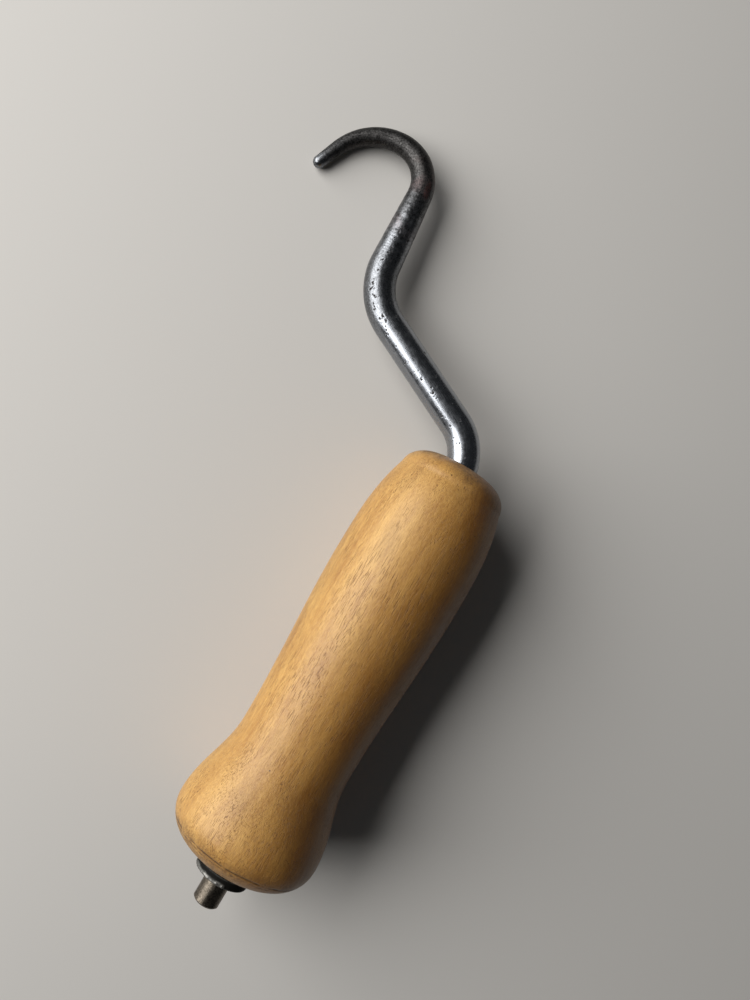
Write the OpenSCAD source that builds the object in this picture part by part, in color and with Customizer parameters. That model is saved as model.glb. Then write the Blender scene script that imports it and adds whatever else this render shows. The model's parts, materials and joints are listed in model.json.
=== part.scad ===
// Wire-twisting hook: one forged steel bar, bent into a crank and a hook, that spins
// in a turned wooden handle. A washer tack-welded to the bar's stub keeps the handle on.
//
// The tool lies as it does on a table: the handle's bell and barrel and the hook all
// touch z = 0. +Y runs along the handle towards the hook, and the hook reaches out to -X.

/* [Handle] */
// Length of the wooden handle, face to face
handle_len = 107; // [95:1:140]
// Greatest diameter of the bell at the washer end
bell_d = 36.6; // [32:0.1:44]
// Distance of the bell's widest point from the washer end
bell_at = 8.9; // [6:0.1:12]
// Diameter of the flat on the washer end
foot_d = 12; // [10:0.1:22]
// Diameter of the waist above the bell
waist_d = 28.7; // [24:0.1:31]
// Distance of the waist from the washer end
waist_at = 30; // [22:0.5:38]
// Diameter of the barrel at its fullest
barrel_d = 32.6; // [29:0.1:38]
// Distance of the fullest point of the barrel from the washer end
barrel_at = 77; // [60:0.5:84]
// Diameter where the rounding of the hook end starts
shoulder_d = 27; // [23:0.1:28.5]
// Diameter of the flat on the hook end
nose_d = 12.4; // [11.6:0.1:20]
// Length of the rounding at the hook end
nose_round = 5.6; // [3:0.1:8]

/* [Bar] */
// Diameter of the round bar
bar_d = 8; // [7.4:0.1:10]
// Diameter of the turned-down land that centres the washer
land_d = 6.8; // [6.6:0.1:7.2]
// Diameter of the stub beyond the land
stub_d = 6.4; // [4.5:0.1:6.6]
// Length of the stub beyond the washer
stub_len = 7.1; // [4:0.1:12]
// Chamfer on the stub's end
stub_chamfer = 0.4; // [0.2:0.1:1]

/* [Crank] */
// Depth below the handle's face at which the bar starts to bend
bend_inset = 2.7; // [0:0.1:3]
// Centreline radius of the bend at the handle
root_bend_r = 13; // [11:0.5:20]
// Angle of the crank's arm to the handle
arm_angle = 64; // [50:1:75]
// Length of the crank's straight arm
arm_len = 28.8; // [18:0.1:45]
// Centreline radius of the elbow between arm and shank
elbow_r = 16; // [10:0.5:22]
// Angle of the shank to the handle
shank_angle = 5; // [0:1:15]
// Length of the straight shank below the hook
shank_len = 18.8; // [10:0.1:35]

/* [Hook] */
// Centreline radius of the hook's tight bend
throat_r = 10.5; // [8:0.1:16]
// Heading at which the tight bend opens into the wider one
crest_angle = 90; // [70:1:110]
// Centreline radius of the hook's wider bend
beak_r = 14.5; // [10:0.1:22]
// Heading of the straight tip
tip_angle = 158; // [140:1:170]
// Length of the straight tip
tip_len = 5.8; // [3:0.1:10]
// Diameter of the rounded tip
tip_d = 3.2; // [2.4:0.1:5]

/* [Washer and weld] */
// Outer diameter of the washer
washer_d = 13.4; // [11:0.1:16]
// Thickness of the washer
washer_t = 2.2; // [1:0.1:3]
// Chamfer on both edges of the washer
washer_chamfer = 0.3; // [0.1:0.1:0.4]
// Width of the weld bead round the land
bead_w = 0.9; // [0.5:0.1:1.5]
// Angle round the land at which the bead starts with a lump, from +X towards +Z
bead_from = 60; // [0:5:355]
// Part of the land's circumference that the bead covers, in degrees
bead_sweep = 250; // [120:10:330]
// Diameter of the lump where the bead ends
bead_lump_d = 2.2; // [1.4:0.1:3]

/* [Fits] */
// Radial running clearance of the bar in the handle's bore
bore_clearance = 0.08; // [0.03:0.01:0.1]
// End play between the handle and the washer
end_play = 1.5; // [0.3:0.1:2]
// Radial clearance of the washer on its land
washer_clearance = 0.05; // [0.02:0.01:0.1]
// Radial widening of the bore's mouth, which the bend turns in
mouth_flare = 1; // [0.8:0.1:1.4]

/* [Hidden] */

$fn = 96;
bar_r = bar_d / 2;
land_r = land_d / 2;
stub_r = stub_d / 2;
bore_r = bar_r + bore_clearance;
// The bore's mouth starts to widen a little below the start of the bend
mouth_lead = 0.8;
mouth_depth = bend_inset + mouth_lead;
// The land runs through the washer and just past the weld
land_reach = 0.1;
land_len = washer_t + max(bead_w, bead_lump_d / 2) + land_reach;
// How far a cutter runs past a face that it opens
cut = 1;

// ---- Handle profile: points [distance from the washer end, radius] ----

// Fullness of the rounding at the washer end: 2 is an ellipse, more is squarer
foot_fullness = 2.2;
// How late the barrel falls away to the shoulder: 1 is straight, more is later
shoulder_fall = 3;
profile_steps = 20;

// A cosine ease from one point to another, flat at both ends
function ease(from, to, n = profile_steps) =
    [for (i = [1:n])
        let (t = i / n)
        [from[0] + (to[0] - from[0]) * t,
         from[1] + (to[1] - from[1]) * (1 - cos(180 * t)) / 2]];

foot_points =
    [for (i = [0:profile_steps])
        let (a = 90 * i / profile_steps, p = 2 / foot_fullness)
        [bell_at * (1 - pow(cos(a), p)),
         foot_d / 2 + (bell_d - foot_d) / 2 * pow(sin(a), p)]];

shoulder_at = handle_len - nose_round;
shoulder_points =
    [for (i = [1:profile_steps])
        let (t = i / profile_steps)
        [barrel_at + (shoulder_at - barrel_at) * t,
         barrel_d / 2 - (barrel_d - shoulder_d) / 2 * pow(t, shoulder_fall)]];

nose_points =
    [for (i = [1:profile_steps])
        let (a = 90 * i / profile_steps)
        [shoulder_at + nose_round * sin(a),
         shoulder_d / 2 - (shoulder_d - nose_d) / 2 * (1 - cos(a))]];

handle_profile = concat(
    foot_points,
    ease([bell_at, bell_d / 2], [waist_at, waist_d / 2]),
    ease([waist_at, waist_d / 2], [barrel_at, barrel_d / 2]),
    shoulder_points,
    nose_points);

// ---- Bar's centreline: points [x, y, heading, distance along the bar] ----
// A heading is measured from +Y towards -X. Every bend lies in one plane.

function last(list) = list[len(list) - 1];

function line_points(start, length, n) =
    [for (i = [1:n])
        let (s = length * i / n)
        [start[0] - s * sin(start[2]),
         start[1] + s * cos(start[2]),
         start[2],
         start[3] + s]];

function bend_points(start, r, heading, n) =
    let (side = sign(heading - start[2]))
    [for (i = [1:n])
        let (h = start[2] + (heading - start[2]) * i / n)
        [start[0] + side * r * (cos(h) - cos(start[2])),
         start[1] + side * r * (sin(h) - sin(start[2])),
         h,
         start[3] + r * abs(h - start[2]) * PI / 180]];

// Rings on each stretch of the bar
root_bend_steps = 9;
arm_steps = 4;
elbow_steps = 9;
shank_steps = 5;
throat_steps = 12;
beak_steps = 10;
tip_steps = 2;

root = [0, handle_len - bend_inset, 0, 0];
root_bend_points = bend_points(root, root_bend_r, arm_angle, root_bend_steps);
arm_points = line_points(last(root_bend_points), arm_len, arm_steps);
elbow_points = bend_points(last(arm_points), elbow_r, shank_angle, elbow_steps);
shank_points = line_points(last(elbow_points), shank_len, shank_steps);
throat_points = bend_points(last(shank_points), throat_r, crest_angle, throat_steps);
beak_points = bend_points(last(throat_points), beak_r, tip_angle, beak_steps);
tip_points = line_points(last(beak_points), tip_len, tip_steps);
crank_points = concat(root_bend_points, arm_points, elbow_points);
hook_points = concat(shank_points, throat_points, beak_points, tip_points);

// The bar keeps its size up to the shank, and is drawn down evenly from there to the tip
taper_from = last(crank_points)[3];
taper_len = last(hook_points)[3] - taper_from;
function drawn_r(p) = bar_r - (bar_r - tip_d / 2) * max(0, p[3] - taper_from) / taper_len;

// ---- How the tool lies ----

// The point of a profile that reaches lowest when the handle is tipped by an angle
function lowest(points, tip) =
    let (reach = [for (p = points) p[0] * sin(tip) + p[1] * cos(tip)])
    points[search(max(reach), reach)[0]];

bell_points = [for (p = handle_profile) if (p[0] <= waist_at) p];
barrel_points = [for (p = handle_profile) if (p[0] > waist_at) p];

// The angle at which bell and barrel touch one plane, found in a few rounds
tilt_rounds = 4;
function rest_tilt(tip, rounds) =
    let (a = lowest(bell_points, tip), b = lowest(barrel_points, tip))
    rounds == 0 ? tip : rest_tilt(atan((a[1] - b[1]) / (b[0] - a[0])), rounds - 1);

tilt = rest_tilt(0, tilt_rounds);
rest_point = lowest(handle_profile, tilt);
rest_height = rest_point[0] * sin(tilt) + rest_point[1] * cos(tilt);

// The bar turns in the handle until the first point of the hook touches the plane
droop = min([for (p = hook_points)
    asin((rest_height - p[1] * sin(tilt) - drawn_r(p)) / (-p[0] * cos(tilt)))]);

stub_end = end_play + washer_t + stub_len;
low_x = min([for (p = hook_points) p[0] * cos(droop) - drawn_r(p)]);
high_x = bell_d / 2;
low_y = -stub_end * cos(tilt) - stub_r * sin(tilt);
high_y = max([for (p = hook_points)
    p[1] * cos(tilt) + p[0] * sin(droop) * sin(tilt) + drawn_r(p)]);

// Sets down what is built along +Y, with the origin under the middle of the whole tool
module laid_down(turn = 0)
    translate([-(low_x + high_x) / 2, -(low_y + high_y) / 2, rest_height])
        rotate([-tilt, 0, 0])
            rotate([0, -turn, 0])
                children();

// Turns what is built along +Z to run along +Y
module along_y() rotate([-90, 0, 0]) children();

// ---- Steel bar ----

// The bent bar: rings along the centreline, from a neck in the end of the straight
// shaft to a rounded tip. The neck is hidden in the handle's mouth.
module bent_bar(sides = 24, round_steps = 5) {
    neck_len = 1;
    neck_cut = 0.3;
    tip = last(hook_points);
    neck_ring = [[root[0], root[1] - neck_len, root[2], bar_r - neck_cut]];
    body_rings =
        [for (p = concat(crank_points, hook_points))
            [p[0], p[1], p[2], drawn_r(p)]];
    tip_rings =
        [for (i = [1:round_steps])
            let (a = 90 * i / (round_steps + 1), s = tip_d / 2 * sin(a))
            [tip[0] - s * sin(tip[2]), tip[1] + s * cos(tip[2]), tip[2], tip_d / 2 * cos(a)]];
    rings = concat(neck_ring, body_rings, tip_rings);
    points =
        [for (ring = rings, k = [0:sides - 1])
            let (a = 360 * k / sides)
            [ring[0] - ring[3] * cos(a) * cos(ring[2]),
             ring[1] - ring[3] * cos(a) * sin(ring[2]),
             ring[3] * sin(a)]];
    walls =
        [for (i = [0:len(rings) - 2], k = [0:sides - 1])
            let (a = i * sides, next = (k + 1) % sides)
            [a + k, a + sides + k, a + sides + next, a + next]];
    first_cap = [for (k = [0:sides - 1]) k];
    last_cap = [for (k = [sides - 1:-1:0]) (len(rings) - 1) * sides + k];
    polyhedron(points, concat([first_cap, last_cap], walls), convexity = 4);
}

// A round length of the bar between two distances from the handle's washer end
module turned(r, from, to)
    translate([0, from, 0])
        along_y()
            cylinder(r = r, h = to - from);

module hook_rod()
    color("dimgray")
        laid_down(droop) {
            turned(bar_r, -end_play, root[1]);
            turned(land_r, -end_play - land_len, -end_play);
            turned(stub_r, -stub_end + stub_chamfer, -end_play);
            translate([0, -stub_end, 0])
                along_y()
                    cylinder(r1 = stub_r - stub_chamfer, r2 = stub_r, h = stub_chamfer);
            bent_bar();
        }

// ---- Wooden handle ----

module handle()
    color("burlywood")
        laid_down()
            along_y()
                difference() {
                    rotate_extrude()
                        polygon(concat(
                            [[0, 0]],
                            [for (p = handle_profile) [p[1], p[0]]],
                            [[0, handle_len]]));
                    translate([0, 0, -cut])
                        cylinder(r = bore_r, h = handle_len + 2 * cut);
                    translate([0, 0, handle_len - mouth_depth])
                        cylinder(r1 = bore_r, r2 = bore_r + mouth_flare, h = mouth_depth);
                    translate([0, 0, handle_len])
                        cylinder(r = bore_r + mouth_flare, h = cut);
                }

// ---- Washer and its weld ----

module chamfered_disc(r, h, chamfer) {
    cylinder(r1 = r - chamfer, r2 = r, h = chamfer);
    translate([0, 0, chamfer])
        cylinder(r = r, h = h - 2 * chamfer);
    translate([0, 0, h - chamfer])
        cylinder(r1 = r, r2 = r - chamfer, h = chamfer);
}

module end_washer()
    color("darkslategray")
        laid_down(droop)
            translate([0, -end_play - washer_t, 0])
                along_y()
                    difference() {
                        chamfered_disc(washer_d / 2, washer_t, washer_chamfer);
                        translate([0, 0, -cut])
                            cylinder(r = land_r + washer_clearance, h = washer_t + 2 * cut);
                    }

// A bead in the corner of washer and land, with a lump where it starts
module weld_bead() {
    seat = 0.02;
    lump_r = bead_lump_d / 2;
    color("gray")
        laid_down(droop)
            translate([0, -end_play - washer_t, 0])
                rotate([90, 0, 0])
                    difference() {
                        rotate([0, 0, bead_from]) {
                            rotate_extrude(angle = bead_sweep)
                                translate([land_r, 0])
                                    circle(r = bead_w);
                            translate([land_r + lump_r / 2, 0, 0])
                                sphere(r = lump_r);
                        }
                        translate([0, 0, -bead_lump_d])
                            cylinder(r = washer_d, h = bead_lump_d);
                        translate([0, 0, -cut])
                            cylinder(r = land_r + seat, h = land_len + cut);
                    }
}

hook_rod();
handle();
end_washer();
weld_bead();
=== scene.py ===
"""Looks of the wire-twisting hook: a forged bar, a turned handle, a washer and its weld.

Each piece is a skin made round the handle's axis or the bent bar, in metres and in the CAD
model's frame. Noise and masks are worked out in millimetres and kept on each mesh's points,
where the procedural materials read them.
"""

import json
import math

import bpy
import numpy as np
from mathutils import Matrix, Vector


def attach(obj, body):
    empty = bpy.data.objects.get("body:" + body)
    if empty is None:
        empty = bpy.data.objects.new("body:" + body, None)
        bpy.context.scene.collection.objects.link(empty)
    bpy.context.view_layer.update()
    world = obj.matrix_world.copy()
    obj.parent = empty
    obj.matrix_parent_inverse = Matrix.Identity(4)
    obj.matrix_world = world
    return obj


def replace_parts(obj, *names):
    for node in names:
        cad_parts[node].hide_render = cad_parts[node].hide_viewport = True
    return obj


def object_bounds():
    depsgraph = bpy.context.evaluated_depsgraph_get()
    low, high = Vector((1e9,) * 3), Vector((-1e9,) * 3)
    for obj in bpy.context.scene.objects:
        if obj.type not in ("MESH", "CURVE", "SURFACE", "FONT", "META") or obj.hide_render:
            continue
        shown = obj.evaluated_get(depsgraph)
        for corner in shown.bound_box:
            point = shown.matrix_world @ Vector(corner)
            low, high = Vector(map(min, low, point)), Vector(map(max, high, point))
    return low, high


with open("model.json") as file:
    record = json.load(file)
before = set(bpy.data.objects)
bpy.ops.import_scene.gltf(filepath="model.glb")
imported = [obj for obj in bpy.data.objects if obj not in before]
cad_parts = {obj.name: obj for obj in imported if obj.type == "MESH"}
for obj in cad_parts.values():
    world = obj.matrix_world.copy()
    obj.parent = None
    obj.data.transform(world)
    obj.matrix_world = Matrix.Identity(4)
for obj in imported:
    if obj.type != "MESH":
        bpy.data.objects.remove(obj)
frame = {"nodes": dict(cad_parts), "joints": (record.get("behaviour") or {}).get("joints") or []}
CAD_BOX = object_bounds()
MM = 0.001


# ---- The handle's axis and the crank's plane, from the frame ----

PLACE_DIGITS = 6
SAME_PLACE = 2e-6

spin = frame["joints"][0]
ALONG = np.array(Vector(spin["axis"]).normalized())
PIVOT = np.array(spin["pos_m"])


def corners(node):
    """A CAD node's points, in metres."""
    mesh = frame["nodes"][node].data
    points = np.zeros(len(mesh.vertices) * 3)
    mesh.vertices.foreach_get("co", points)
    return points.reshape(-1, 3)


def along_and_out(points, origin):
    """Distance of points along the handle's axis, and their offsets from it."""
    reach = (points - origin) @ ALONG
    return reach, points - origin - reach[:, None] * ALONG


def profile_of(node):
    """A round node's reach along the axis and its greatest radius there, in order."""
    reach, offset = along_and_out(corners(node), ORIGIN)
    radius = np.linalg.norm(offset, axis=1)
    places = np.unique(np.round(reach, PLACE_DIGITS))
    widest = [radius[np.abs(reach - place) < SAME_PLACE].max() for place in places]
    return places, np.array(widest)


# The tool's own frame: its origin is where the axis leaves the handle's washer end, and OUT
# points from the axis to the farthest place on the crank
ORIGIN = PIVOT + along_and_out(corners("handle"), PIVOT)[0].min() * ALONG
rod_offset = along_and_out(corners("hook_rod"), ORIGIN)[1]
farthest = rod_offset[np.argmax(np.linalg.norm(rod_offset, axis=1))]
OUT = farthest / np.linalg.norm(farthest)
ACROSS = np.cross(ALONG, OUT)
HANDLE_LEN = along_and_out(corners("handle"), ORIGIN)[0].max()


# ---- Noise ----

HASH_PRIMES = np.array([73856093, 19349663, 83492791])
SEED_PRIME = 2654435761
STIR_PRIME = 1274126177
STIR_SHIFT = 13
LOW_BITS = 0x7FFFFFFF
HASH_STEPS = 4096
NOISE_GAIN = 1.6


def lattice(cells, seed):
    """A gradient for each lattice cell, from its whole-number place."""
    hashed = (cells * HASH_PRIMES).sum(-1) + seed * SEED_PRIME
    hashed = (hashed ^ (hashed >> STIR_SHIFT)) * STIR_PRIME & LOW_BITS
    turn = (hashed % HASH_STEPS) / HASH_STEPS * 2 * math.pi
    level = (hashed // HASH_STEPS % HASH_STEPS) / (HASH_STEPS / 2) - 1
    flat = np.sqrt(1 - level**2)
    return np.stack([flat * np.cos(turn), flat * np.sin(turn), level], -1)


def noise(points, size, seed):
    """Smooth gradient noise of about -1 to 1. size is the feature size on each axis."""
    places = points / np.asarray(size)
    cells = np.floor(places).astype(np.int64)
    part = places - cells
    fade = part**3 * (part * (part * 6 - 15) + 10)
    total = 0
    for corner in np.ndindex(2, 2, 2):
        corner = np.array(corner)
        weight = np.where(corner, fade, 1 - fade).prod(-1)
        total = total + weight * (lattice(cells + corner, seed) * (part - corner)).sum(-1)
    return total * NOISE_GAIN


def height(points, size, seed):
    """The same noise as a height from 0 to 1."""
    return np.clip(0.5 + 0.5 * noise(points, size, seed), 0, 1)


def rise(low, high, value):
    """Smooth rise from 0 at low to 1 at high."""
    t = np.clip((value - low) / (high - low), 0, 1)
    return t * t * (3 - 2 * t)


def window(opening, closing, value):
    """Smooth rise to 1 over one stretch of value, and fall back to 0 over another."""
    return rise(*opening, value) * (1 - rise(*closing, value))


def table(pairs, value):
    """A number read between pairs of place and number."""
    return np.interp(value, *zip(*pairs))


# ---- Meshes ----

SHARP_ANGLE = 35


def skin(name, grid, loop=False, sharp=SHARP_ANGLE):
    """A closed mesh from rings of points. Its ends meet, or each is closed at its middle."""
    rings, sides = grid.shape[:2]
    index = np.arange(rings * sides).reshape(rings, sides)
    ahead = np.roll(index, -1, axis=0) if loop else index[1:]
    here = index if loop else index[:-1]
    quads = np.stack([here, np.roll(here, -1, 1), np.roll(ahead, -1, 1), ahead], -1)
    points = grid.reshape(-1, 3)
    faces = quads.reshape(-1, 4).tolist()
    if not loop:
        for ring, turn in ((0, 1), (rings - 1, -1)):
            pole = len(points)
            points = np.vstack([points, grid[ring].mean(0)])
            rim = index[ring]
            faces += [[a, pole, b][::turn] for a, b in zip(rim.tolist(), np.roll(rim, -1).tolist())]
    mesh = bpy.data.meshes.new(name)
    mesh.from_pydata(points.tolist(), [], faces)
    mesh.validate()
    mesh.shade_smooth()
    mesh.set_sharp_from_angle(angle=math.radians(sharp))
    piece = bpy.data.objects.new(name, mesh)
    bpy.context.scene.collection.objects.link(piece)
    return piece


def store(piece, **masks):
    """Keeps numbers or vectors for the points of a grid. A pole gets its ring's mean."""
    for name, values in masks.items():
        is_vector = values.ndim > 2
        flat = values.reshape(-1, 3) if is_vector else values.reshape(-1)
        if len(flat) < len(piece.data.vertices):
            flat = np.concatenate([flat, values[[0, -1]].mean(1)])
        layer = piece.data.attributes.new(name, "FLOAT_VECTOR" if is_vector else "FLOAT", "POINT")
        layer.data.foreach_set("vector" if is_vector else "value", flat.ravel())


def circle(sides):
    """Angles round a circle, with their cosines and sines."""
    turn = np.linspace(0, 2 * math.pi, sides, endpoint=False)
    return turn, np.cos(turn), np.sin(turn)


def lathe(profile, cos, sin):
    """Directions out from the axis, and a turned profile's points in mm, in the tool's frame."""
    ray = cos[:, None] * OUT + sin[:, None] * ACROSS
    reach = np.repeat(profile[:, 0:1], len(cos), 1)
    return ray, np.stack([reach, profile[:, 1:2] * cos, profile[:, 1:2] * sin], -1) / MM


def resampled(line, gap):
    """Points at even gaps along a line of points."""
    length = np.concatenate([[0], np.cumsum(np.linalg.norm(np.diff(line, axis=0), axis=1))])
    places = np.linspace(0, length[-1], max(2, round(length[-1] / gap)))
    return np.stack([np.interp(places, length, line[:, k]) for k in range(line.shape[1])], -1)


def smoothed(line, reach):
    """Eases a line of points over a few neighbours, with its ends held."""
    kernel = np.hanning(2 * reach + 3)[1:-1]
    kernel /= kernel.sum()
    held = np.concatenate([np.repeat(line[:1], reach, 0), line, np.repeat(line[-1:], reach, 0)])
    eased = np.stack([np.convolve(held[:, k], kernel, "valid") for k in range(line.shape[1])], -1)
    eased[0], eased[-1] = line[0], line[-1]
    return eased


def finish_piece(piece, body, node, material):
    piece.data.materials.append(material)
    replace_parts(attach(piece, body), node)


# ---- Materials ----

# The colour sockets of a Mix node, by number, because its names repeat
MIX_A, MIX_B, MIX_RESULT = 6, 7, 2
# What most of a noise texture's values lie between
SPAN = (0.3, 0.7)
NARROW_SPAN = (0.36, 0.64)


class Look:
    """A material under construction. Lengths in its textures are millimetres."""

    def __init__(self, name):
        self.material = bpy.data.materials.new(name)
        self.material.use_nodes = True
        self.tree = self.material.node_tree
        self.shader = self.tree.nodes["Principled BSDF"]

    def put(self, value, socket):
        """Links a socket, or gives it a number or a colour."""
        if isinstance(value, bpy.types.NodeSocket):
            self.tree.links.new(value, socket)
        elif isinstance(value, tuple) and socket.type == "RGBA":
            socket.default_value = (*value, 1)
        else:
            socket.default_value = value

    def set(self, **values):
        """Sets the shader's sockets, named with _ for a space."""
        for name, value in values.items():
            self.put(value, self.shader.inputs[name.replace("_", " ")])

    def kept(self, name):
        """A number that the mesh keeps for each point."""
        node = self.tree.nodes.new("ShaderNodeAttribute")
        node.attribute_name = name
        return node.outputs["Fac"]

    def kept_vector(self, name):
        """A vector that the mesh keeps for each point."""
        return self.kept(name).node.outputs["Vector"]

    def scaled(self, vector, factors):
        node = self.tree.nodes.new("ShaderNodeVectorMath")
        node.operation = "MULTIPLY"
        self.put(vector, node.inputs[0])
        node.inputs[1].default_value = factors
        return node.outputs[0]

    def noise(self, vector, size, detail=2, rough=0.5):
        """Noise from 0 to 1 whose features are about size across, on each axis or on all."""
        if isinstance(size, tuple):
            vector = self.scaled(vector, tuple(1 / s for s in size))
            size = 1
        node = self.tree.nodes.new("ShaderNodeTexNoise")
        self.put(vector, node.inputs["Vector"])
        node.inputs["Scale"].default_value = 1 / size
        node.inputs["Detail"].default_value = detail
        node.inputs["Roughness"].default_value = rough
        return node.outputs["Fac"]

    def specks(self, vector, per_mm, inner, outer):
        """Scattered round specks, that fade out between two radii, as shares of their gap."""
        node = self.tree.nodes.new("ShaderNodeTexVoronoi")
        self.put(vector, node.inputs["Vector"])
        node.inputs["Scale"].default_value = per_mm
        return self.range(node.outputs["Distance"], inner, outer, 1, 0)

    def range(self, value, low, high, to_low=0, to_high=1):
        """Carries a value from one range to another, and holds it there."""
        node = self.tree.nodes.new("ShaderNodeMapRange")
        node.clamp = True
        for socket, number in zip(node.inputs, (value, low, high, to_low, to_high)):
            self.put(number, socket)
        return node.outputs[0]

    def swing(self, value, span, amount):
        """Carries a span of a value to the range from -amount to amount."""
        return self.range(value, *span, -amount, amount)

    def math(self, operation, first, *others):
        """One operation on two or more values, or on one."""
        for other in others or (0.0,):
            node = self.tree.nodes.new("ShaderNodeMath")
            node.operation = operation
            self.put(first, node.inputs[0])
            self.put(other, node.inputs[1])
            first = node.outputs[0]
        return first

    def mix(self, factor, a, b, kind="MIX"):
        node = self.tree.nodes.new("ShaderNodeMix")
        node.data_type = "RGBA"
        node.blend_type = kind
        self.put(factor, node.inputs["Factor"])
        self.put(a, node.inputs[MIX_A])
        self.put(b, node.inputs[MIX_B])
        return node.outputs[MIX_RESULT]

    def tinted(self, colour, tint):
        return self.mix(1.0, colour, tint, "MULTIPLY")

    def bump(self, heightmap, depth, strength, under=None):
        """A bump whose full height is depth in millimetres."""
        node = self.tree.nodes.new("ShaderNodeBump")
        node.inputs["Distance"].default_value = depth * MM
        self.put(strength, node.inputs["Strength"])
        self.put(heightmap, node.inputs["Height"])
        if under is not None:
            self.put(under, node.inputs["Normal"])
        return node.outputs[0]


BRIGHT_STEEL = (0.29, 0.305, 0.33)
BLACK_SCALE = (0.049, 0.0485, 0.049)
BROWNED_STEEL = (0.125, 0.103, 0.077)
STEEL_DARKEST = (0.34, 0.34, 0.34)
STEEL_LIGHTEST = (1.75, 1.75, 1.75)
RUST = (0.1, 0.027, 0.02)
PIT_FLOOR = (0.02, 0.017, 0.016)


def steel():
    """Worn bar steel: polished on the crank, black and rough on the hook, pitted, a little rusty."""
    look = Look("bar_steel")
    bar = look.kept_vector("bar")
    wear, pit, rust, ripple, brown = map(look.kept, ("wear", "pit", "rust", "ripple", "brown"))
    mottle = look.noise(bar, 1.3, 4, 0.6)
    speck = look.noise(bar, 0.38, 3, 0.65)
    drawn = look.noise(bar, (3, 0.3, 0.3))
    rusty = look.math("MULTIPLY", rust, look.range(speck, 0.38, 0.6))

    colour = look.mix(wear, BRIGHT_STEEL, BLACK_SCALE)
    colour = look.mix(brown, colour, BROWNED_STEEL)
    tone = look.math("ADD", look.swing(mottle, SPAN, 0.25), look.swing(speck, NARROW_SPAN, 0.6))
    tone = look.math("MULTIPLY", tone, look.range(wear, 0, 1, 0.12, 1))
    tone = look.math("ADD", tone, look.swing(ripple, (-0.5, 0.5), 0.42))
    darkest = look.tinted(colour, STEEL_DARKEST)
    lightest = look.tinted(colour, STEEL_LIGHTEST)
    colour = look.mix(look.range(tone, -0.6, 0.6), darkest, lightest)
    colour = look.mix(rusty, colour, RUST)
    colour = look.mix(look.range(pit, 0.15, 0.7), colour, PIT_FLOOR)

    rough = look.math(
        "ADD",
        look.range(wear, 0.35, 1, 0.255, 0.47),
        look.range(mottle, *SPAN, -0.04, 0.06),
        look.swing(drawn, (0.35, 0.65), 0.03),
        look.math("MULTIPLY", rusty, 0.25),
        look.range(pit, 0.1, 0.6, 0, 0.35),
    )
    dull = look.math("MULTIPLY", look.math("MAXIMUM", rusty, pit), 0.6)
    lines = look.bump(drawn, 0.004, 0.5)
    grain = look.bump(speck, 0.05, look.range(wear, 0, 1, 0.05, 1), lines)
    look.set(Base_Color=colour, Roughness=rough, Metallic=look.math("SUBTRACT", 1.0, dull), Normal=grain)
    return look.material


WOOD_DARK = (0.34, 0.152, 0.033)
WOOD_LIGHT = (0.715, 0.43, 0.13)
# Tint of the painted shade on the side away from the crank
PAINTED_SHADE_TINT = (0.57, 0.45, 0.295)
PORE = (0.17, 0.072, 0.018)
# Colour of the dirt, and of the painted shade below the mouth on the shaded side
DIRT_AND_SHADE = (0.12, 0.06, 0.023)
MARK = (0.07, 0.034, 0.013)
SCRATCH = (0.16, 0.075, 0.024)


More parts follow.
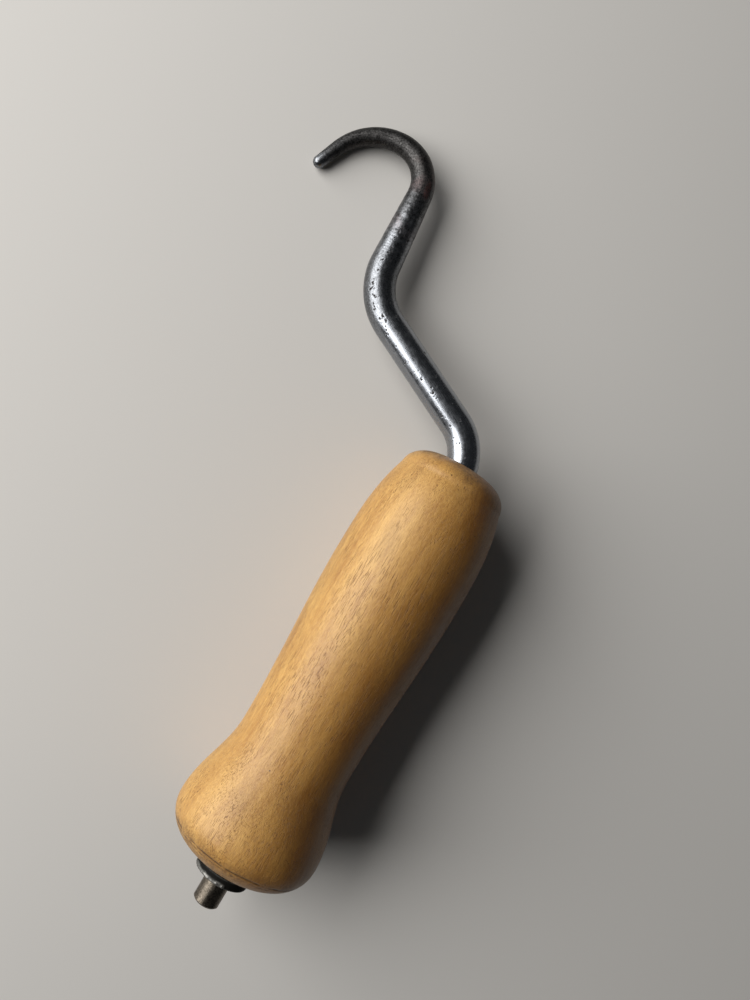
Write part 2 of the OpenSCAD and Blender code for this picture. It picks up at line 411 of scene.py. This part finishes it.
def lacquered_wood():
    """Pale close-grained wood under a worn satin lacquer, dirty at its ends, with painted shade on the side
    away from the crank and beside the mouth.
    """
    look = Look("handle_wood")
    grain = look.kept_vector("grain")
    groove, grime, ring, patina = map(look.kept, ("groove", "grime", "ring", "patina"))
    # Sizes are along the grain and then across it
    blotch = look.noise(grain, (18, 8, 8), 3)
    band = look.noise(grain, (70, 2.6, 2.6))
    streak = look.noise(grain, (16, 0.6, 0.6), 4, 0.65)
    fibre = look.noise(grain, (1.6, 0.22, 0.22), 4, 0.8)
    patch = look.noise(grain, (13, 3.5, 3.5))
    pores = look.noise(grain, (2.5, 0.15, 0.15), 0)
    pore = look.math("MULTIPLY", look.range(pores, 0.63, 0.71), look.range(patch, 0.42, 0.58, 0.3, 1))

    tone = look.math(
        "ADD",
        look.swing(streak, SPAN, 0.09),
        look.swing(blotch, SPAN, 0.2),
        look.swing(band, SPAN, 0.08),
        look.swing(fibre, NARROW_SPAN, 0.22),
    )
    tone = look.math("SUBTRACT", tone, look.math("MULTIPLY", ring, 0.09))
    colour = look.mix(look.range(tone, -0.5, 0.5), WOOD_DARK, WOOD_LIGHT)
    # Painted shade: the side away from the crank is darkened and browned by a tint
    colour = look.mix(patina, colour, look.tinted(colour, PAINTED_SHADE_TINT))
    colour = look.mix(look.math("MULTIPLY", pore, 0.65), colour, PORE)

    clot = look.noise(grain, (1.6, 0.8, 0.8), 3, 0.7)
    clotted = look.range(clot, 0.38, 0.62, 0.35, 1)
    # Dirt, and painted shade where the mouth's dirt spreads down the shaded side
    dirt_and_shade = look.math("MULTIPLY", grime, look.range(blotch, *SPAN, 0.6, 1), clotted)
    colour = look.mix(dirt_and_shade, colour, DIRT_AND_SHADE)
    speck = look.specks(grain, 0.21, 0.03, 0.055)
    marks = look.math("MAXIMUM", look.math("MULTIPLY", speck, 0.8), groove)
    colour = look.mix(marks, colour, MARK)
    # A scratch is a line along which a noise crosses its middle
    crossing = look.math("SUBTRACT", look.noise(grain, (1.6, 2.6, 2.6), 1), 0.5)
    line = look.range(look.math("ABSOLUTE", crossing), 0.004, 0.014, 1, 0)
    scratch = look.math("MULTIPLY", line, look.kept("handled"))
    colour = look.mix(look.math("MULTIPLY", scratch, 0.35), colour, SCRATCH)

    rough = look.math(
        "ADD",
        look.range(blotch, *SPAN, 0.38, 0.5),
        look.swing(fibre, SPAN, 0.05),
        look.math("MULTIPLY", look.math("MAXIMUM", dirt_and_shade, pore), 0.2),
    )
    dents = look.bump(look.noise(grain, (4, 1.1, 1.1), 3, 0.6), 0.12, 0.7)
    cut = look.math("SUBTRACT", fibre, look.math("MAXIMUM", pore, scratch))
    look.set(Base_Color=colour, Roughness=rough, Normal=look.bump(cut, 0.08, 0.8, dents))
    look.set(Specular_IOR_Level=0.4, Coat_Weight=0.22, Coat_Roughness=0.31)
    return look.material


WASHER_BLACKEST = (0.004, 0.0038, 0.0034)
WASHER_BLACK = (0.012, 0.0115, 0.01)
WASHER_BARE = (0.27, 0.265, 0.25)


def black_steel():
    """The washer: oxidised nearly black, worn to bare metal along its edges."""
    look = Look("washer_steel")
    at, edge = look.kept_vector("at"), look.kept("edge")
    mottle = look.noise(at, 0.8, 4, 0.6)
    speck = look.noise(at, 0.2, 3, 0.6)
    bare = look.math("MULTIPLY", edge, look.range(mottle, 0.35, 0.55, 0.35, 1))
    colour = look.mix(look.range(speck, *SPAN), WASHER_BLACKEST, WASHER_BLACK)
    colour = look.mix(bare, colour, WASHER_BARE)
    rough = look.math("ADD", look.range(bare, 0, 1, 0.72, 0.33), look.range(speck, *SPAN, -0.06, 0.08))
    look.set(Base_Color=colour, Roughness=rough, Metallic=bare, Normal=look.bump(speck, 0.03, 0.7))
    look.set(Specular_IOR_Level=0.08)
    return look.material


WELD_BRIGHT = (0.34, 0.34, 0.33)
WELD_DULL = (0.05, 0.042, 0.036)


def weld_metal():
    """The bead: bright rippled metal, browned in its hollows."""
    look = Look("weld_metal")
    at, hollow = look.kept_vector("at"), look.kept("hollow")
    mottle = look.noise(at, 0.7, 3, 0.6)
    speck = look.noise(at, 0.16, 3, 0.6)
    dull = look.math("MULTIPLY", hollow, look.range(mottle, 0.3, 0.6, 0.4, 1))
    colour = look.mix(dull, WELD_BRIGHT, WELD_DULL)
    rough = look.math("ADD", look.range(dull, 0, 1, 0.3, 0.55), look.range(speck, *SPAN, -0.06, 0.1))
    look.set(Base_Color=colour, Roughness=rough, Metallic=1.0, Normal=look.bump(speck, 0.04, 0.7))
    return look.material


# ---- Bar ----

BAR_R = 4 * MM
LAND_R = 3.4 * MM
STUB_R = 3.2 * MM
STUB_CHAMFER = 0.4 * MM
STUB_END = -10.79 * MM
LAND_END = -4.9 * MM
SHOULDER = -1.5 * MM
BEND_INSET = 2.7 * MM
ROOT_BEND_R = 13 * MM
ARM_ANGLE = 64
ARM_LEN = 28.8 * MM
ELBOW_R = 16 * MM
SHANK_ANGLE = 5
SHANK_LEN = 18.8 * MM
THROAT_R = 10.5 * MM
CREST_ANGLE = 90
BEAK_R = 14.5 * MM
TIP_ANGLE = 158
TIP_LEN = 5.8 * MM
TIP_R = 1.6 * MM

BAR_SIDES = 160
BAR_STEP = 0.16 * MM
STUB_RINGS = 38
FACE_RINGS = 16
FACE_SPAN = (0.05, 0.93)
DOME_RINGS = 16
DOME_END = 88

# Clusters of corrosion pits: distance along the bent bar in mm, place round it in degrees
# from the crank's outer side, count, spread in mm
PIT_CLUSTERS = (
    (3, 66, 3, 0.4), (8, 72, 2, 1), (12, 150, 5, 2), (18, 300, 9, 2.5), (16, 62, 3, 1),
    (22.5, 74, 9, 0.7), (26, 190, 7, 3), (29, 62, 9, 1.4), (33, 56, 8, 1), (40, 240, 10, 3),
    (40, 52, 6, 1.5), (44.5, 66, 10, 0.9), (48, 56, 10, 1.2), (51.5, 70, 16, 1.1), (55, 62, 9, 1.6),
    (53, 200, 9, 3), (58, 84, 8, 2), (62.5, 92, 10, 0.7), (68, 110, 10, 2), (74, 10, 6, 3),
)
PIT_SEED = 11
PIT_FAN = 0.11
LONE_PITS = 120
LONE_PIT_SPAN = (1, 82)
# Pits in mm: the smallest, how much larger the largest is, how rare large ones are, the size
# from which a pit has its full depth, and a reach that no pit passes
PIT_LEAST = 0.09
PIT_MORE = 0.25
PIT_RARITY = 2.6
PIT_FULL = 0.25
PIT_REACH = 1.2
PIT_STRETCH = (0.75, 1.7)
PIT_LEAN = (-0.5, 0.5)
PIT_TURN = (0, 6)
PIT_WOBBLE = 0.32
PIT_WALL = (0.35, 1.15)
PIT_SHALLOW = 0.55

# Along the bent bar, in mm from the crank's root: where the crank comes into view, the depth
# of the hammered dents and of the rough skin in mm, how strong the pits are, and wear from
# bright (0) to black scale (1)
CRANK_SEEN = (-2, 1)
DENTS_ALONG = ((0, 0), (6, 0.012), (43, 0.03), (60, 0.05), (78, 0.14), (104, 0.13), (115, 0.04))
ROUGH_ALONG = (
    (38, 0), (46, 0.014), (56, 0.014), (70, 0.016), (82, 0.045), (112, 0.045), (114.5, 0.02), (117, 0.004),
)
PITS_ALONG = ((60, 1), (84, 0.5))
WEAR_ALONG = (
    (38, 0), (44, 0.16), (49, 0.5), (57, 0.56), (64, 0.46), (69, 0.5), (75, 0.74), (84, 1),
    (113.5, 1), (115.5, 0.85), (117.5, 0.48),
)
PIT_DEPTH = 0.06
# How far wear strays along the bar, and where that ends near the tip
WEAR_WANDER = 2.5
WANDER_ENDS = (104, 110)
# Forging streaks run slantwise across the shank: where they start and end, depth and slant
STREAKS_START, STREAKS_END = (60, 65), (76, 84)
STREAK_DEPTH = 0.085
STREAK_SLANT = 0.3
# The shank's faint rust and browning: how strong, and where each starts and ends
SHANK_RUST = 0.35
RUST_START, RUST_END = (65, 70), (82, 90)
SHANK_BROWN = 0.05
BROWN_START, BROWN_END = (64, 76), (106, 112)
# What lies before this place is hidden in the handle or is the turned end, worn and browned
TURNED_END = -50
TURNED_WEAR = 0.7
TURNED_BROWN = 0.85
# A patch of rust: how deep, its place in mm and degrees, and its half sizes
PATCH_RUST = 0.85
PATCH_AT, PATCH_ROUND = 79.5, 122
PATCH_LEN, PATCH_WIDTH = 2.2, 16


def bar_path():
    """Rows of the bent bar's centreline: out, along, heading in radians, distance from the root.

    The second value is the distance at which the bar starts to be drawn down.
    """
    rows = [np.array([0, HANDLE_LEN - BEND_INSET, 0, 0.0])]

    def straight(length):
        start = rows[-1]
        for s in np.linspace(0, length, max(2, round(length / BAR_STEP)))[1:]:
            ahead = [s * math.sin(start[2]), s * math.cos(start[2]), 0, s]
            rows.append(start + np.array(ahead))

    def bend(radius, heading):
        start = rows[-1]
        turn = math.radians(heading) - start[2]
        side = np.sign(turn)
        arc = abs(turn) * radius
        for t in np.linspace(0, 1, round(arc / BAR_STEP))[1:]:
            h = start[2] + turn * t
            out = side * radius * (math.cos(start[2]) - math.cos(h))
            along = side * radius * (math.sin(h) - math.sin(start[2]))
            rows.append(np.array([start[0] + out, start[1] + along, h, start[3] + arc * t]))

    bend(ROOT_BEND_R, ARM_ANGLE)
    straight(ARM_LEN)
    bend(ELBOW_R, SHANK_ANGLE)
    shank = rows[-1][3]
    straight(SHANK_LEN)
    bend(THROAT_R, CREST_ANGLE)
    bend(BEAK_R, TIP_ANGLE)
    straight(TIP_LEN)
    return np.array(rows), shank


def bar_pits(s, turn):
    """How deep each point lies in a corrosion pit, from 0 to 1. s is in mm."""
    rng = np.random.default_rng(PIT_SEED)
    spots = [(at + rng.normal(0, spread), math.radians(angle) + rng.normal(0, spread * PIT_FAN))
             for at, angle, count, spread in PIT_CLUSTERS for _ in range(count)]
    spots += [(rng.uniform(*LONE_PIT_SPAN), rng.uniform(0, 2 * math.pi)) for _ in range(LONE_PITS)]
    depth = np.zeros(s.shape)
    for at, angle in spots:
        size = PIT_LEAST + PIT_MORE * rng.random() ** PIT_RARITY
        stretch = rng.uniform(*PIT_STRETCH)
        lean = rng.uniform(*PIT_LEAN)
        start = rng.uniform(*PIT_TURN)
        near = np.where(np.abs(s[:, 0] - at) < PIT_REACH)[0]
        if not len(near):
            continue
        rows = slice(near[0], near[-1] + 1)
        around = (np.mod(turn[rows] - angle + math.pi, 2 * math.pi) - math.pi) * BAR_R / MM
        along = (s[rows] - at + lean * around) / stretch
        edge = size * (1 + PIT_WOBBLE * np.sin(3 * np.arctan2(around, along) + start))
        pit = 1 - rise(*PIT_WALL, np.hypot(along, around) / edge)
        full = PIT_SHALLOW + (1 - PIT_SHALLOW) * min(1, size / PIT_FULL)
        depth[rows] = np.maximum(depth[rows], pit * full)
    return depth


def bar_surface(s, turn, radius):
    """How far the bar's surface lies inside the drawn bar in metres, and its masks.

    s is the distance from the crank's root in metres. The dents, the rough skin and the
    streaks lie as much outside the drawn bar as inside it, so they don't thin it.
    """
    at = np.stack([s, radius * np.cos(turn), radius * np.sin(turn)], -1) / MM
    s = s / MM
    crank = rise(*CRANK_SEEN, s)
    dents = 0.6 * height(at, 4.5, seed=1) + 0.4 * height(at, 1.9, seed=2) - 0.5
    skinned = 0.6 * height(at, 0.75, seed=3) + 0.4 * height(at, 0.4, seed=4) - 0.5
    slanted = at + at[..., 2:3] * np.array([STREAK_SLANT, 0, 0])
    fine_streak = height(slanted, (0.55, 1.6, 1.6), seed=5)
    broad_streak = height(slanted, (1.1, 2.4, 2.4), seed=6)
    streak = 0.55 * fine_streak + 0.45 * broad_streak - 0.5
    streak = streak * window(STREAKS_START, STREAKS_END, s)
    pit = bar_pits(s, turn) * crank * table(PITS_ALONG, s)
    depth = crank * (table(DENTS_ALONG, s) * dents + table(ROUGH_ALONG, s) * skinned)
    depth = depth + STREAK_DEPTH * streak + PIT_DEPTH * pit

    wander = WEAR_WANDER * noise(at, 6, seed=7) * (1 - rise(*WANDER_ENDS, s))
    wear = table(WEAR_ALONG, s + wander)
    rust = SHANK_RUST * window(RUST_START, RUST_END, s) * rise(0.5, 0.8, height(at, 5, seed=8))
    from_patch = (np.degrees(turn) - PATCH_ROUND + 180) % 360 - 180
    patch = np.hypot((s - PATCH_AT) / PATCH_LEN, from_patch / PATCH_WIDTH) + 0.4 * noise(at, 2, seed=9)
    rust = np.maximum(rust, PATCH_RUST * (1 - rise(0.4, 1.5, patch)))
    brown = SHANK_BROWN * window(BROWN_START, BROWN_END, s)
    turned = s < TURNED_END
    return depth * MM, {
        "bar": at,
        "pit": pit,
        "wear": np.where(turned, TURNED_WEAR, wear),
        "rust": rust * crank,
        "ripple": 2 * streak,
        "brown": np.where(turned, TURNED_BROWN, brown),
    }


def hook_rod():
    path, shank = bar_path()
    drawn = np.clip((path[:, 3] - shank) / (path[-1][3] - shank), 0, 1)
    tip = path[-1]
    angles = np.radians(np.linspace(0, DOME_END, DOME_RINGS))[1:]
    ahead = np.array([math.sin(tip[2]), math.cos(tip[2]), 0, 1])
    dome = np.array([tip + TIP_R * math.sin(a) * ahead for a in angles])
    # The turned end and the shaft, from the stub's face to the root of the crank
    face_r = STUB_R - STUB_CHAMFER
    turned = [
        *[(STUB_END, r) for r in np.linspace(*FACE_SPAN, FACE_RINGS) * face_r],
        (STUB_END, face_r),
        (STUB_END + STUB_CHAMFER, STUB_R),
        *[(v, STUB_R) for v in np.linspace(STUB_END + STUB_CHAMFER, LAND_END, STUB_RINGS)[1:]],
        (LAND_END, LAND_R),
        (SHOULDER, LAND_R),
        (SHOULDER, BAR_R),
        (path[0][1] - BAR_STEP, BAR_R),
    ]
    shaft = np.array([[0, v, 0, v - path[0][1]] for v, _ in turned])
    rows = np.vstack([shaft, path, dome])
    radius = np.concatenate([
        [r for _, r in turned],
        BAR_R - (BAR_R - TIP_R) * drawn,
        TIP_R * np.cos(angles),
    ])[:, None]
    turn, cos, sin = circle(BAR_SIDES)
    turn = np.repeat(turn[None], len(rows), 0)
    depth, masks = bar_surface(np.repeat(rows[:, 3:4], BAR_SIDES, 1), turn, radius)
    depth = depth * np.minimum(1, radius / TIP_R)
    sideways = np.cos(rows[:, 2:3]) * OUT - np.sin(rows[:, 2:3]) * ALONG
    middle = ORIGIN + rows[:, 0:1] * OUT + rows[:, 1:2] * ALONG
    ray = cos[None, :, None] * sideways[:, None, :] + sin[None, :, None] * ACROSS
    grid = middle[:, None, :] + (radius - depth)[:, :, None] * ray
    piece = skin("hook_rod_forged", np.clip(grid, CAD_BOX[0], CAD_BOX[1]))
    store(piece, **masks)
    finish_piece(piece, "hook", "hook_rod", steel())


# ---- Handle ----

HANDLE_SIDES = 256
RING_GAP = 0.3 * MM
FINE_GAP = 0.08 * MM
OUTLINE_EASE = 9
MOUTH_FLARE = 1 * MM
MOUTH_DEPTH = 3.5 * MM
MOUTH_EASE = 0.25 * MM
# Scored rings near the bell's end: reach, half width and depth in mm, and how much of each is left
SCORES = ((4.9, 0.36, 0.14, 0.62), (4.1, 0.25, 0.07, 0.5), (6.2, 0.2, 0.05, 0.35))
FULL_SCORE = 0.1
SCORE_WANDER = 0.2
# Depth of the long and the short unevenness of the turned outside, in mm
WAVES = 0.05
RIPPLES = 0.03
# Dirt: how strong it is on the bell's end and in smudges, and the reach over which it fades
BELL_DIRT = 0.85
BELL_DIRT_FADE = (3.5, 9)
SCORE_DIRT_FADE = (0.2, 1.6)
SMUDGE_DIRT = 0.3
# Round the mouth: where the dirt starts and is full along the axis, and how much farther it reaches on the
# shaded side, where it is painted shade
MOUTH_DIRT_FROM, MOUTH_DIRT_FULL = 103.4, 106.4
MOUTH_SHADE_SPREAD = 8
# Painted shade: the shaded side, away from the crank, is painted browner and darker, fading in over this
# range of the cosine from the side away from the crank
PAINTED_SHADE_FADE = (-0.55, 0.85)
# Where hands and knocks have scratched the handle, by reach, and how much between its ends
BELL_HANDLED, MOUTH_HANDLED = (8, 26), (92, 104)
LEAST_HANDLED = 0.15
# Growth rings: the pith's place beside the axis, and the gap between rings, in mm
PITH = (24, -15)
GROWTH = 2.3
GROWTH_WANDER = 0.9
LATE_WOOD = 2.5


def handle_profile():
    """The turned handle's closed profile of reach and radius, and which points are its outside."""
    reach, radius = profile_of("handle")
    bore = np.linalg.norm(along_and_out(corners("handle"), ORIGIN)[1], axis=1).min()
    mouth = bore + MOUTH_FLARE
    outline = np.stack([reach, radius], -1)[radius > BAR_R * 1.3]
    fine = smoothed(resampled(outline, FINE_GAP), OUTLINE_EASE)
    keep = np.arange(len(fine)) % round(RING_GAP / FINE_GAP) == 0
    for at, half, _, _ in SCORES:
        keep |= np.abs(fine[:, 0] / MM - at) < 2.5 * half
    keep[[0, -1]] = True
    outer = fine[keep]
    profile = np.array([
        (0, bore),
        (0, (bore + outer[0][1]) / 2),
        *outer,
        (HANDLE_LEN, mouth + 2 * MOUTH_EASE),
        (HANDLE_LEN - 0.3 * MOUTH_EASE, mouth + 0.5 * MOUTH_EASE),
        (HANDLE_LEN - MOUTH_EASE, mouth - 0.1 * MOUTH_EASE),
        (HANDLE_LEN - MOUTH_DEPTH, bore),
    ])
    outside = np.zeros(len(profile))
    outside[2:2 + len(outer)] = 1
    return profile, outside


def handle_scores(at):
    """Depth in mm of the scored rings, which are broken and wander a little, and their mask."""
    depth, groove = 0, 0
    for number, (place, half, deep, left) in enumerate(SCORES):
        wander = SCORE_WANDER * noise(at, 5, seed=30 + number)
        across = 1 - np.clip(np.abs(at[..., 0] - place - wander) / half, 0, 1)
        short_breaks = 0.65 * height(at, (50, 1.4, 1.4), seed=40 + number)
        long_breaks = 0.55 * height(at, (50, 8, 8), seed=50 + number)
        score = across * rise(1 - left, 1.25 - left, short_breaks + long_breaks)
        depth = depth + deep * score
        groove = np.maximum(groove, score * min(1, deep / FULL_SCORE))
    return depth, groove


def handle_grime(at, patina):
    """Dirt on the bell's end, in its main score, round the mouth and faintly all over, with painted shade
    where the mouth's dirt reaches farther down the side away from the crank.
    """
    reach = at[..., 0]
    bell = BELL_DIRT * (1 - rise(*BELL_DIRT_FADE, reach + 2.5 * noise(at, 5, seed=60)))
    from_score = np.abs(reach - SCORES[0][0] + 0.5 * noise(at, 3, seed=63))
    score = (1 - rise(*SCORE_DIRT_FADE, from_score)) * rise(0.35, 0.7, height(at, (3, 2, 2), seed=64))
    # Painted shade: round the mouth the dirt reaches farther down the shaded side, away from the crank
    mouth_from = MOUTH_DIRT_FROM - MOUTH_SHADE_SPREAD * patina
    mouth = rise(mouth_from, MOUTH_DIRT_FULL, reach + 1.8 * noise(at, 2.5, seed=61))
    smudges = SMUDGE_DIRT * rise(0.5, 0.85, height(at, (14, 6, 6), seed=62))
    return np.maximum.reduce([bell, score, mouth, smudges])


def handle():
    profile, outside = handle_profile()
    cos, sin = circle(HANDLE_SIDES)[1:]
    ray, at = lathe(profile, cos, sin)
    reach = at[..., 0]
    score_depth, groove = handle_scores(at)
    waves = WAVES * height(at, (14, 8, 8), seed=21) + RIPPLES * height(at, (5, 3, 3), seed=22)
    inward = ((waves + score_depth) * MM * outside[:, None])[:, :, None]
    grid = ORIGIN + profile[:, 0, None, None] * ALONG + (profile[:, 1, None, None] - inward) * ray

    # Painted shade: the side that faces away from the crank, which lies in shade, is painted browner and
    # darker
    patina = rise(*PAINTED_SHADE_FADE, -cos + 0.25 * noise(at, (30, 7, 7), seed=67))
    from_pith = np.hypot(at[..., 1] - PITH[0], at[..., 2] - PITH[1])
    from_pith = from_pith + GROWTH_WANDER * noise(at, (60, 8, 8), seed=66)
    ring = (0.5 + 0.5 * np.sin(from_pith * 2 * math.pi / GROWTH)) ** LATE_WOOD
    near_ends = np.maximum(1 - rise(*BELL_HANDLED, reach), 0.6 * rise(*MOUTH_HANDLED, reach))
    handled = np.maximum(near_ends, LEAST_HANDLED) * rise(0.5, 0.75, height(at, (5, 4, 4), seed=65))

    piece = skin("handle_turned", grid, loop=True)
    grime = handle_grime(at, patina)
    store(piece, grain=at, groove=groove, grime=grime, ring=ring, patina=patina, handled=handled)
    finish_piece(piece, "grip", "handle", lacquered_wood())


# ---- Washer and weld ----

WASHER_R = 6.7 * MM
WASHER_BORE = 3.45 * MM
WASHER_END = -3.7 * MM
WASHER_EASE = 0.35 * MM
WASHER_SIDES = 160
ROUNDING_POINTS = 7
RIM_POINTS = 12
FACE_POINTS = 14
# In mm: how wide the rim is taken to be, how far its edges are rubbed bare, and how high the
# spatter and its lump stand and how deep the rim is worn
RIM_WIDTH = 0.5
RUBBED_EDGE = (0.1, 0.4)
SPATTER_HEIGHT = 0.32
LUMP_HEIGHT = 0.3
RIM_WEAR = 0.06
# Spatter on the washer's front rim, in degrees: its middle, its half length and how it fades.
# The lump's place is measured from that middle, and its place behind the face in mm
SPATTER_MIDDLE, SPATTER_REACH, SPATTER_FADE = 55, 52, 12
LUMP_AT, LUMP_BEHIND, LUMP_SIZE = 48, 0.5, 0.55

BEAD_R = 0.9 * MM
BEAD_FROM, BEAD_SWEEP = 120, -250
BEAD_STEP = 0.8
BEAD_SIDES = 28
BEAD_FLATNESS = 0.95
BEAD_RELIEF = 0.06 * MM
# Ripples, in degrees: their gap, and how slowly that gap varies
RIPPLE_GAP = 7.2
RIPPLE_DRIFT = 17
# The lump where the bead starts: its radius, and its length in degrees
START_R = 1.1 * MM
START_SPREAD = 17
WELD_SHARP_ANGLE = 60


def washer():
    """A lathe-turned disc with rubbed edges, and weld spatter on its front rim."""
    ease, low, high = WASHER_EASE, WASHER_END, SHOULDER
    rounding = [(1 - math.cos(a), 1 - math.sin(a)) for a in np.radians(np.linspace(0, 90, ROUNDING_POINTS))]
    outer = [(low + ease * q, WASHER_R - ease * p) for p, q in rounding][::-1]
    outer += [(v, WASHER_R) for v in np.linspace(low + ease, high - ease, RIM_POINTS)[1:-1]]
    outer += [(high - ease * q, WASHER_R - ease * p) for p, q in rounding]
    faces = np.linspace(WASHER_BORE, WASHER_R - ease, FACE_POINTS)[1:-1]
    profile = np.array([
        (low, WASHER_BORE),
        *[(low, r) for r in faces],
        *outer,
        *[(high, r) for r in faces[::-1]],
        (high, WASHER_BORE),
    ])
    turn, cos, sin = circle(WASHER_SIDES)
    ray, at = lathe(profile, cos, sin)

    rim = rise(WASHER_R / MM - RIM_WIDTH, WASHER_R / MM, profile[:, 1:2] / MM)
    behind = (profile[:, 0:1] - low) / MM
    from_middle = np.mod(np.degrees(turn) - SPATTER_MIDDLE + 180, 360) - 180
    reached = 1 - rise(SPATTER_REACH - SPATTER_FADE, SPATTER_REACH, np.abs(from_middle))
    spatter = rim * (1 - rise(0.6, 1.15, behind + 0.25 * noise(at, 1.3, seed=74))) * reached
    round_lump = np.radians(from_middle - LUMP_AT) * WASHER_R / MM
    lump = np.hypot(behind - LUMP_BEHIND, round_lump) / LUMP_SIZE
    lump = rim * (1 - rise(0.4, 1.1, lump)) * (0.45 + 0.55 * rise(0, 0.5, lump))
    spattered = SPATTER_HEIGHT * spatter * height(at, 0.7, seed=72) ** 2
    outward = spattered + LUMP_HEIGHT * lump - RIM_WEAR * rim * height(at, 1.6, seed=71)
    grid = (ORIGIN + profile[:, 0, None, None] * ALONG
            + (profile[:, 1:2] + outward * MM)[:, :, None] * ray)

    from_back = (high - profile[:, 0:1]) / MM
    back_edge = 0.35 * rim * (1 - rise(*RUBBED_EDGE, from_back))
    front_edge = 0.4 * rim * (1 - rise(*RUBBED_EDGE, behind))
    edge = np.maximum(np.maximum(spatter, lump), np.maximum(back_edge, front_edge))
    piece = skin("end_washer_worn", grid, loop=True)
    store(piece, at=at, edge=edge * (0.45 + 0.55 * height(at, 0.9, seed=73)))
    finish_piece(piece, "hook", "end_washer", black_steel())


def bead():
    """A rippled bead in the corner of washer and land, with a lump where it started."""
    sweep = abs(BEAD_SWEEP)
    degrees = np.arange(0, sweep + 0.1, BEAD_STEP)
    swept = np.radians(BEAD_FROM + np.sign(BEAD_SWEEP) * degrees)
    wave = np.abs(np.sin(np.pi * (degrees / RIPPLE_GAP + 0.5 * np.sin(degrees / RIPPLE_DRIFT))))
    place = np.stack([degrees / 8, 0 * degrees, 0 * degrees], -1)
    size = BEAD_R * (0.76 + 0.08 * wave + 0.16 * height(place, 1.3, seed=81))
    ends = np.sqrt(np.clip(np.minimum(degrees + 6, sweep - degrees) / 9, 0.02, 1))
    start = np.sqrt(np.clip(1 - (degrees / START_SPREAD - 0.45) ** 2, 0, 1))
    size = np.maximum(size * ends, START_R * start)[:, None]
    middle = (LAND_R + 0.5 * START_R * rise(0, 1, start))[:, None]
    cos, sin = circle(BEAD_SIDES)[1:]
    out = middle + size * cos
    along = WASHER_END - BEAD_FLATNESS * size * sin
    at = np.stack([degrees[:, None] * 0.07 + 0 * out, out / MM, along / MM], -1)
    out = out - BEAD_RELIEF * height(at, 0.5, seed=82)
    ray = np.cos(swept)[:, None] * OUT + np.sin(swept)[:, None] * ACROSS
    grid = ORIGIN + along[:, :, None] * ALONG + out[:, :, None] * ray[:, None, :]
    piece = skin("weld_bead_rippled", grid, sharp=WELD_SHARP_ANGLE)
    hollow = np.clip(1.15 - 1.6 * wave[:, None] + 0.8 * noise(at, 0.8, seed=83), 0, 1)
    store(piece, at=at, hollow=hollow)
    finish_piece(piece, "hook", "weld_bead", weld_metal())


# ---- Floor, camera and light ----

FLOOR_SIZE = 3
FLOOR_COLOUR = (0.6, 0.582, 0.556)
FLOOR_ROUGHNESS = 0.9
CAMERA_AT = (-13.976 * MM, 1.573 * MM, 207 * MM)
CAMERA_TILT = (-2.109, -7.67)
CAMERA_TURN = 31.515
LENS = 29.12
SENSOR_WIDTH = 36
NEAREST_SEEN = 5 * MM
# The light's azimuth is from the camera's right, counter-clockwise
LIGHT_AZIMUTH, LIGHT_ELEVATION = 151, 34
LIGHT_DISTANCE = 0.68
LIGHT_SIZE = (0.8, 0.62)
LIGHT_POWER = 8.75
LIGHT_COLOUR = (1, 0.99, 0.97)
ROOM_COLOUR = (0.9, 0.95, 1, 1)
ROOM_STRENGTH = 0.034


def placed(name, data, location, rotation):
    """A new object in the scene."""
    piece = bpy.data.objects.new(name, data)
    piece.location = location
    piece.rotation_euler = rotation
    bpy.context.scene.collection.objects.link(piece)
    return piece


def floor():
    bpy.ops.mesh.primitive_plane_add(size=FLOOR_SIZE)
    plane = bpy.context.object
    plane.name = "floor"
    look = Look("floor")
    look.set(Base_Color=FLOOR_COLOUR, Roughness=FLOOR_ROUGHNESS)
    plane.data.materials.append(look.material)


def camera():
    data = bpy.data.cameras.new("camera")
    data.lens = LENS
    data.sensor_width = SENSOR_WIDTH
    data.clip_start = NEAREST_SEEN
    rotation = [math.radians(a) for a in (*CAMERA_TILT, CAMERA_TURN)]
    bpy.context.scene.camera = placed("camera", data, CAMERA_AT, rotation)


def window_light():
    """One large soft light, low on the left."""
    azimuth = math.radians(LIGHT_AZIMUTH + CAMERA_TURN)
    elevation = math.radians(LIGHT_ELEVATION)
    level = math.cos(elevation)
    away = Vector((math.cos(azimuth) * level, math.sin(azimuth) * level, math.sin(elevation)))
    data = bpy.data.lights.new("window", "AREA")
    data.shape = "RECTANGLE"
    data.size, data.size_y = LIGHT_SIZE
    data.energy = LIGHT_POWER
    data.color = LIGHT_COLOUR
    placed("window", data, away * LIGHT_DISTANCE, away.to_track_quat("Z", "Y").to_euler())


def room():
    """Faint light from all round."""
    world = bpy.data.worlds.new("room")
    bpy.context.scene.world = world
    world.use_nodes = True
    background = world.node_tree.nodes["Background"]
    background.inputs["Color"].default_value = ROOM_COLOUR
    background.inputs["Strength"].default_value = ROOM_STRENGTH


hook_rod()
handle()
washer()
bead()
floor()
camera()
window_light()
room()
bpy.context.scene.view_settings.view_transform = "Standard"
